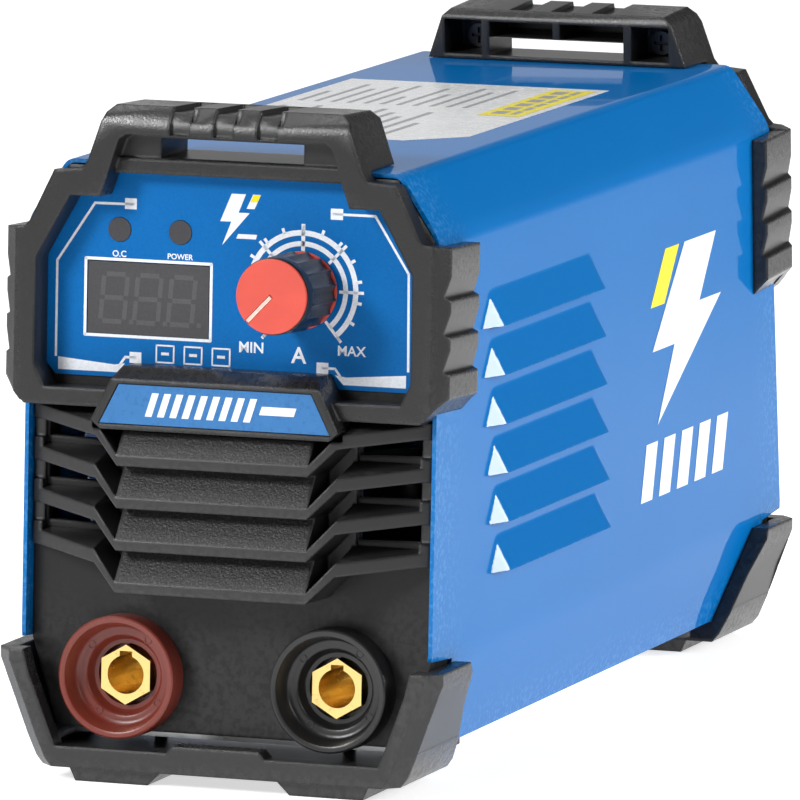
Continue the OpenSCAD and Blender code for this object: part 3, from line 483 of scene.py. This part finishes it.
def cover_section():
    """Half of the outer section from the lower edge up, as (x, z) points."""
    foot, knee, hip, crown = (FOOT_X, 0), (HALF_W, TUCK_Z), (HALF_W, SIDE_TOP), (HALF_W - SHOULDER, TOP_Z)
    half = [Vector(foot), Vector(foot).lerp(Vector(knee), 0.5)]
    half += bend(knee, foot, hip, 3)[:-1]
    half += [Vector((HALF_W, z)) for z in side_rows()]
    half += bend(hip, knee, crown, 3)[1:]
    half += bend(crown, hip, (0, TOP_Z), 2)
    return half


def cover_piece():
    """The folded cover: one grid over its section, with pressed hoods and open lips."""
    half = cover_section()
    section = half + [Vector((-p.x, p.y)) for p in reversed(half)]
    columns = [27 + 0.8 * k for k in range(118)] + [124, 150, 190, 226]
    bm = bmesh.new()
    grid = []
    for point in section:
        x, z = point
        front, rear = 0.05 * z, 252 - 0.1 * z
        if z < TUCK_Z - 0.5:
            front = 24 - 9 * (z + 1) / 25
            rear = 252 - front
        row = []
        for y in [front] + columns + [rear]:
            out = hood_height(y, z) if abs(x) >= HALF_W - 0.001 else 0
            row.append(bm.verts.new(CASE @ Vector((x + math.copysign(out, x), y, z))))
        grid.append(row)
    lips = {round(low, 3) for low, front in LOUVRES}
    for lower, upper, p, q in zip(grid, grid[1:], section, section[1:]):
        for a, b, c, d in zip(lower, lower[1:], upper[1:], upper):
            pair = {round(p.y, 3), round(q.y, 3)}
            step = max(v.co.x for v in (a, b, c, d)) - min(v.co.x for v in (a, b, c, d))
            if pair & lips and abs(p.y - q.y) < 0.03 and step > 0.25 * MM:
                continue
            bm.faces.new((a, b, c, d))
    bmesh.ops.recalc_face_normals(bm, faces=bm.faces)
    mesh = to_mesh("cover", bm, 28)
    piece = settle("cover_piece", mesh, "case", "blue_paint", replaced=("cover",))
    shell = piece.modifiers.new("sheet", "SOLIDIFY")
    shell.thickness = SHEET * MM
    shell.offset = -1
    for side in (-1, 1):
        flange = block_mesh("flange", (side * 39.2, 126, 0.5), (10.4, 184, 0.98), CASE)
        settle("cover_flange_" + ("left" if side < 0 else "right"), flange, "case", "blue_paint")


def block_mesh(name, middle, size, frame_matrix, radius=0.0):
    """A box about its middle in a frame, its edges rounded by radius."""
    bm = bmesh.new()
    bmesh.ops.create_cube(bm, size=1)
    for v in bm.verts:
        v.co = Vector((v.co.x * size[0], v.co.y * size[1], v.co.z * size[2])) + Vector(middle)
    if radius:
        bmesh.ops.bevel(bm, geom=list(bm.edges), offset=radius, segments=2, profile=0.6, affect="EDGES")
    bm.transform(frame_matrix)
    bmesh.ops.recalc_face_normals(bm, faces=bm.faces)
    return to_mesh(name, bm)


# ---------------------------------------------------------------- turned pieces
def turned_mesh(name, profile, middle, frame_matrix, turns=96, smooth_angle=35):
    """A closed section of (radius, depth along Y) points turned about a line through middle."""
    bm = bmesh.new()
    rings = []
    for k in range(turns):
        a = 2 * math.pi * k / turns
        across, up = math.cos(a), math.sin(a)
        ring = [Vector((middle[0] + r * across, depth, middle[1] + r * up)) for r, depth in profile]
        rings.append([bm.verts.new(point) for point in ring])
    count = len(profile)
    for ring, following in zip(rings, rings[1:] + rings[:1]):
        for k in range(count):
            n = (k + 1) % count
            bm.faces.new((ring[k], ring[n], following[n], following[k]))
    bm.transform(frame_matrix)
    bmesh.ops.recalc_face_normals(bm, faces=bm.faces)
    return to_mesh(name, bm, smooth_angle)


COLLAR_PROFILE = [(14.7, 3.9), (14.7, -1.9), (14.55, -2.35), (14.2, -2.6), (13.35, -2.6), (13.05, -2.45), (12.9, -2.1),
                  (12.2, 1.2), (11.9, 2.0), (11.4, 2.4), (10.7, 2.55), (9.9, 2.55), (9.6, 2.7), (9.3, 3.2), (8.8, 4.8),
                  (8.4, 5.15), (7.4, 5.2), (7.3, 9.0), (6.35, 9.0), (6.35, 16.9), (11.65, 16.9), (11.65, 3.9)]
SOCKET_Z = 16.5
SOCKETS = {"positive_collar": -26.8, "negative_collar": 26.8}


def collars():
    """The plug collars with their dished faces and small moulded marks."""
    for node, x in SOCKETS.items():
        mesh = turned_mesh(node, COLLAR_PROFILE, (x, SOCKET_Z), FRONT)
        settle(node + "_piece", mesh, "case", slot_of[node], replaced=(node,))
        for k, angle in enumerate((55, 140, 235, 325)):
            a = math.radians(angle)
            spot = (x + 10.55 * math.cos(a), SOCKET_Z + 10.55 * math.sin(a))
            ring = [(1.0, 2.7), (0.95, 2.38), (0.75, 2.38), (0.7, 2.7)]
            mark = turned_mesh("mark", ring, spot, FRONT, 24)
            settle(f"{node}_mark_{k}", mark, "case", slot_of[node])


# ---------------------------------------------------------------- printed graphics
def flat_mesh(name, shapes, depth, frame_matrix, plane="XZ"):
    """Flat shapes, each a list of 2-D points, at one depth of a frame's plane."""
    bm = bmesh.new()
    for shape in shapes:
        if plane == "XZ":
            points = [Vector((u, depth, v)) for u, v in shape]
            facing = Vector((0, -1, 0))
        elif plane == "XY":
            points = [Vector((u, v, depth)) for u, v in shape]
            facing = Vector((0, 0, 1))
        else:
            points = [Vector((depth, u, v)) for u, v in shape]
            facing = Vector((math.copysign(1, depth), 0, 0))
        face = bm.faces.new([bm.verts.new(p) for p in points])
        face.normal_update()
        if face.normal.dot(facing) < 0:
            face.normal_flip()
    bmesh.ops.triangulate(bm, faces=bm.faces)
    bm.transform(frame_matrix)
    return to_mesh(name, bm)


def stroke(points, width):
    """A line of that width through 2-D points, as four-sided shapes with filled corners."""
    shapes = []
    for a, b in zip(points, points[1:]):
        a, b = Vector(a), Vector(b)
        side = (b - a).normalized() * width / 2
        across = Vector((-side.y, side.x))
        a, b = a - side * 0.5, b + side * 0.5
        shapes.append([a + across, b + across, b - across, a - across])
    return shapes


def arc_band(middle, inner, outer, start, end, steps=48):
    """A band of a circle; angles in degrees clockwise from straight up."""
    def spot(r, degrees):
        a = math.radians(degrees)
        return (middle[0] + r * math.sin(a), middle[1] + r * math.cos(a))
    cuts = [start + (end - start) * k / steps for k in range(steps + 1)]
    return [[spot(inner, p), spot(outer, p), spot(outer, q), spot(inner, q)] for p, q in zip(cuts, cuts[1:])]


def tick(middle, inner, outer, degrees, width):
    a = math.radians(degrees)
    way = Vector((math.sin(a), math.cos(a)))
    middle = Vector(middle)
    return stroke([middle + way * inner, middle + way * outer], width)[0]


def words(name, text, place, height, depth, frame_matrix, finish, slot_name, stretch=1.0):
    """Generic words in flat letters, centred on place."""
    curve = bpy.data.curves.new(name, "FONT")
    curve.body = text
    curve.size = height * 1.38
    curve.align_x = "CENTER"
    curve.align_y = "CENTER"
    curve.resolution_u = 4
    curve.offset = height * 0.025
    holder = bpy.data.objects.new(name, curve)
    bpy.context.scene.collection.objects.link(holder)
    bpy.context.view_layer.update()
    mesh = bpy.data.meshes.new_from_object(holder)
    bpy.data.objects.remove(holder)
    upright = Matrix.Rotation(math.pi / 2, 4, "X") @ Matrix.Diagonal((stretch, 1, 1, 1))
    stand = Matrix.Translation((place[0], depth, place[1])) @ upright
    mesh.transform(frame_matrix @ stand)
    return settle(name, mesh, "case", slot_name, finish)


LABEL_WORDS = (
    ("word_min", "MIN", 4.4, 95.9, 2.6), ("word_amps", "A", 16.4, 94.6, 3.9), ("word_max", "MAX", 29.6, 96.3, 2.4),
    ("word_overcurrent", "O.C", -29.4, 116.4, 1.5), ("word_power", "POWER", -14, 116.4, 1.35),
)


def label_print():
    """Everything printed on the control label."""
    depth = LABEL_Y - PRINT
    shapes = []
    shapes += arc_band(KNOB, 12.8, 14.1, -140, 140) + arc_band(KNOB, 10.3, 11.5, -140, 140)
    for k in range(15):
        shapes.append(tick(KNOB, 14.0, 15.0, -140 + 20 * k, 0.75))
    for angle in (-140, -90, -45, 0, 45, 90, 140):
        shapes.append(tick(KNOB, 9.4, 15.3, angle, 0.75 if angle else 0.95))
    frame_box = [(-37.9, 97.0), (-37.9, 115.1), (-6.0, 115.1), (-6.0, 97.0)]
    shapes += stroke(frame_box + frame_box[:1], 0.7)
    left = [(-26, 128.3), (-35.8, 128.2), (-45.2, 114.2), (-45.2, 91.6)]
    right = [(24.5, 128.4), (35, 128.4), (43.6, 115.2), (43.9, 92.4)]
    for line, block in ((left, (-28.2, -25.2, 127.1, 129.7)), (right, (23.8, 26.9, 127.1, 129.7))):
        shapes += stroke(line, 0.6)
        x0, x1, z0, z1 = block
        shapes.append([(x0, z0), (x1, z0), (x1, z1), (x0, z1)])
    for x0, x1, x2 in ((-44.6, -27.5, -24.9), (43.4, 25.6, 22.4)):
        run = x0 - x1
        shapes.append([(x0, 88.4), (x1 + run * 0.12, 88.4), (x1, 90.6), (x1 + run * 0.16, 90.2), (x0, 91.4)])
        shapes += stroke([(x1 + run * 0.08, 90.2), (x1, 92.1), (x2, 92.1)], 0.6)
        shapes.append([(x2 - 1.5, 90.8), (x2 + 1.5, 90.8), (x2 + 1.5, 93.4), (x2 - 1.5, 93.4)])
    for x in (-19.6, -12.5, -5.4):
        plain_sign = [(x, 91.3), (x + 4.4, 91.3), (x + 4.4, 95.3), (x, 95.3)]
        shapes += stroke(plain_sign + plain_sign[:1], 0.4)
        shapes.append([(x + 1.2, 93), (x + 3.2, 93), (x + 3.2, 93.7), (x + 1.2, 93.7)])
    bolt = [(-1.2, 132), (2.4, 132), (0.6, 127.6), (3.4, 127.6), (-3.4, 119.8), (-1.2, 125.4), (-4, 125.4)]
    shapes += [bolt, [(4.2, 132), (6.2, 132), (4.6, 128.6), (2.6, 128.6)]]
    shapes.append([(0.6, 122.6), (5.4, 122.6), (5.1, 121.5), (0.1, 121.5)])
    mesh = flat_mesh("label_print", shapes, depth, FRONT)
    settle("label_print", mesh, "case", "label_blue", "print_white")
    yellow = [(4.3, 131.9), (6.1, 131.9), (5.3, 130.2), (3.5, 130.2)]
    accent = flat_mesh("label_accent", [yellow], depth - 0.02, FRONT)
    settle("label_accent", accent, "case", "label_blue", "print_yellow")
    for name, text, x, z, height in LABEL_WORDS:
        words(name, text, (x, z), height, depth, FRONT, "print_white", "label_blue")


def display_print():
    """Unlit figure segments behind the smoked window."""
    shapes = []
    for middle in (-30.6, -22, -13.4):
        w, h, lean_over = 3.0, 5.6, 0.08
        def seg(x0, z0, x1, z1):
            lift = lambda x, z: (middle + x + z * lean_over, 106 + z)
            return stroke([lift(x0, z0), lift(x1, z1)], 1.15)
        for z in (-h, 0, h):
            shapes += seg(-w + 0.9, z, w - 0.9, z)
        for x in (-w, w):
            shapes += seg(x, 0.8, x, h - 0.8) + seg(x, -h + 0.8, x, -0.8)
        shapes.append([(middle + 3.9, 99.9), (middle + 5, 99.9), (middle + 5, 101), (middle + 3.9, 101)])
    mesh = flat_mesh("display_print", shapes, LABEL_Y + 0.05 - PRINT, FRONT)
    settle("display_print", mesh, "case", "smoked_window", "segment_grey")


def nameplate_print():
    """Slanted white bars on the nameplate."""
    shapes = []
    for k in range(9):
        x = -17.5 + 3.1 * k
        shapes.append([(x, 79.6), (x + 1.7, 79.6), (x + 3.5, 85.2), (x + 1.8, 85.2)])
    shapes.append([(11.3, 81.5), (20, 81.5), (20.7, 83.5), (12, 83.5)])
    mesh = flat_mesh("nameplate_print", shapes, -9.8 - PRINT, FRONT)
    settle("nameplate_print", mesh, "case", "plate_blue", "print_white")


def side_print():
    """The yellow accent of the side marks."""
    for side, name in ((-1, "left"), (1, "right")):
        shape = [(162, 102), (172, 102), (161.5, 88.5), (151.5, 88.5)]
        mesh = flat_mesh("side_accent", [shape], side * (HALF_W + 0.06), CASE, "YZ")
        settle("side_accent_" + name, mesh, "case", "sticker_print", "mark_yellow")


def top_print():
    """Grey lines of small print and a striped yellow strip on the top sticker."""
    lines, strip, dark = [], [], []
    pattern = (0.92, 0.78, 0.96, 0.6, 0.88, 0.4, 0.95, 0.83, 0.7, 0.9, 0.5)
    for k in range(11):
        x = -32.5 + 4.3 * k
        reach = 52 * pattern[k]
        lines.append([(x, 72), (x + 1.5, 72), (x + 1.5, 72 + reach), (x, 72 + reach)])
        end = 130 + 40 * pattern[-1 - k]
        lines.append([(x, 130), (x + 1.3, 130), (x + 1.3, end), (x, end)])
    strip.append([(19, 118), (30, 118), (30, 172), (19, 172)])
    for k in range(6):
        y = 122 + 8.2 * k
        dark.append([(21, y), (24.6, y), (24.6, y + 5.4), (21, y + 5.4)])
        dark.append([(26, y), (27.6, y), (27.6, y + 6.4), (26, y + 6.4)])
    top = TOP_Z + STICKER
    layers = (("top_lines", lines, 0.03, "print_grey"), ("top_strip", strip, 0.05, "print_yellow"),
              ("top_strip_marks", dark, 0.07, "print_grey"))
    for name, shapes, lift, finish in layers:
        mesh = flat_mesh(name, shapes, top + lift, CASE, "XY")
        settle(name, mesh, "case", "sticker_print", finish)


def knob_line():
    """The pale pointer line laid in the groove of the knob's cap."""
    turn = Matrix.Translation((KNOB[0], 0, KNOB[1])) @ Matrix.Rotation(math.radians(POINTER_TURN), 4, "Y")
    mesh = block_mesh("knob_line", (0, -17.82, 4.3), (0.86, 0.4, 8.2), FRONT @ turn)
    settle("knob_line", mesh, "knob", "knob_red", "pointer_pale")


POINTER_TURN = -136
EDGE_RADIUS = {"front_slats": 0.6, "knob_grip": 0.2, "knob_core": 0.3, "switch_rocker": 0.6, "start_relay": 0.5}
SPECIAL_FINISH = {"front_slats": "slat_black", "emblem": "mark_white"}
for node_name in slot_of:
    if node_name != "cover" and node_name not in SOCKETS:
        from_cad(node_name, EDGE_RADIUS.get(node_name, 0.0), finish=SPECIAL_FINISH.get(node_name))
cover_piece()
collars()
label_print()
display_print()
nameplate_print()
side_print()
top_print()
knob_line()


# ---------------------------------------------------------------- setting
FLOOR_SIZE = 14
GLOW_START, GLOW_END = 220, 620     # where the floor's glow fades, to each side of the object
CAMERA_ROLL = 0.063                 # degrees
CAMERA_LENS = 521.8
CAMERA_PLACE = (1000.8, -2496.2, 483.9)
CAMERA_AIM = (33.2, 29.2, 81.8)
HORIZON_LEVEL = 0.6
SKY_LEVELS = ((0.32, 0.14), (0.7, 0.16), (0.9, 0.9))


def make_floor():
    bpy.ops.mesh.primitive_plane_add(size=FLOOR_SIZE, location=(0, 0, 0))
    floor = bpy.context.object
    floor.name = "floor"
    f = Finish("floor")
    x, y, z = f.axes()
    aside = (x * 0.934 + y * 0.358).size()      # distance from the camera's line of sight
    glow = (aside * -1).ramp(-GLOW_END, -GLOW_START)
    f.done(Base_Color=f.blend(f.noise(60, 3), (0.88, 0.88, 0.88), (0.92, 0.92, 0.92)), Roughness=0.75,
           Emission_Color=f.blend(glow, (0, 0, 0), (1, 1, 1)), Emission_Strength=0.62)
    floor.data.materials.append(f.material)


def soft_light(name, place, aim, width, height, power):
    data = bpy.data.lights.new(name, "AREA")
    data.shape = "RECTANGLE"
    data.size = width
    data.size_y = height
    data.energy = power
    lamp = bpy.data.objects.new(name, data)
    bpy.context.scene.collection.objects.link(lamp)
    lamp.location = place
    lamp.rotation_euler = (Vector(aim) - Vector(place)).to_track_quat("-Z", "Y").to_euler()


def make_sky():
    """A studio surround: bright behind and overhead, with a dark screen on the right."""
    world = bpy.data.worlds.new("studio")
    bpy.context.scene.world = world
    world.use_nodes = True
    tree = world.node_tree
    where = tree.nodes.new("ShaderNodeTexCoord")
    split = tree.nodes.new("ShaderNodeSeparateXYZ")
    ramp = tree.nodes.new("ShaderNodeValToRGB")
    tree.links.new(where.outputs["Generated"], split.inputs[0])
    tree.links.new(split.outputs[2], ramp.inputs[0])
    shade = tree.nodes.new("ShaderNodeMapRange")
    for name, value in (("From Min", -0.15), ("From Max", 0.12), ("To Min", 1.1), ("To Max", 0.22)):
        shade.inputs[name].default_value = value
    tree.links.new(split.outputs[0], shade.inputs["Value"])
    tree.links.new(shade.outputs[0], tree.nodes["Background"].inputs["Strength"])
    tree.links.new(ramp.outputs[0], tree.nodes["Background"].inputs["Color"])
    stops = ramp.color_ramp.elements
    stops[0].position = 0.0
    stops[0].color = (HORIZON_LEVEL, HORIZON_LEVEL, HORIZON_LEVEL, 1)
    stops[1].position = 0.2
    stops[1].color = (HORIZON_LEVEL, HORIZON_LEVEL, HORIZON_LEVEL, 1)
    for position, level in SKY_LEVELS:
        stops.new(position).color = (level, level, level, 1)


def make_camera():
    data = bpy.data.cameras.new("camera")
    data.sensor_width = 36
    data.lens = CAMERA_LENS
    data.clip_end = 50
    camera = bpy.data.objects.new("camera", data)
    bpy.context.scene.collection.objects.link(camera)
    place = at(*CAMERA_PLACE)
    aim = at(*CAMERA_AIM)
    turn = (aim - place).to_track_quat("-Z", "Y").to_matrix().to_4x4()
    roll = Matrix.Rotation(math.radians(CAMERA_ROLL), 4, "Z")
    camera.matrix_world = Matrix.Translation(place) @ turn @ roll
    bpy.context.scene.camera = camera


make_floor()
make_sky()
soft_light("key", (-1.0, -1.5, 1.1), (0, 0, 0.08), 0.5, 0.5, 30)
soft_light("fill", (1.7, -0.5, 1.0), (0, 0, 0.08), 0.7, 0.9, 12)
soft_light("overhead", (-0.7, -0.4, 1.8), (0, 0, 0.1), 0.6, 0.6, 5)
soft_light("rim", (1.6, 0.73, 0.62), (0, 0, 0.1), 0.5, 0.4, 20)
make_camera()
bpy.context.scene.view_settings.view_transform = "Standard"
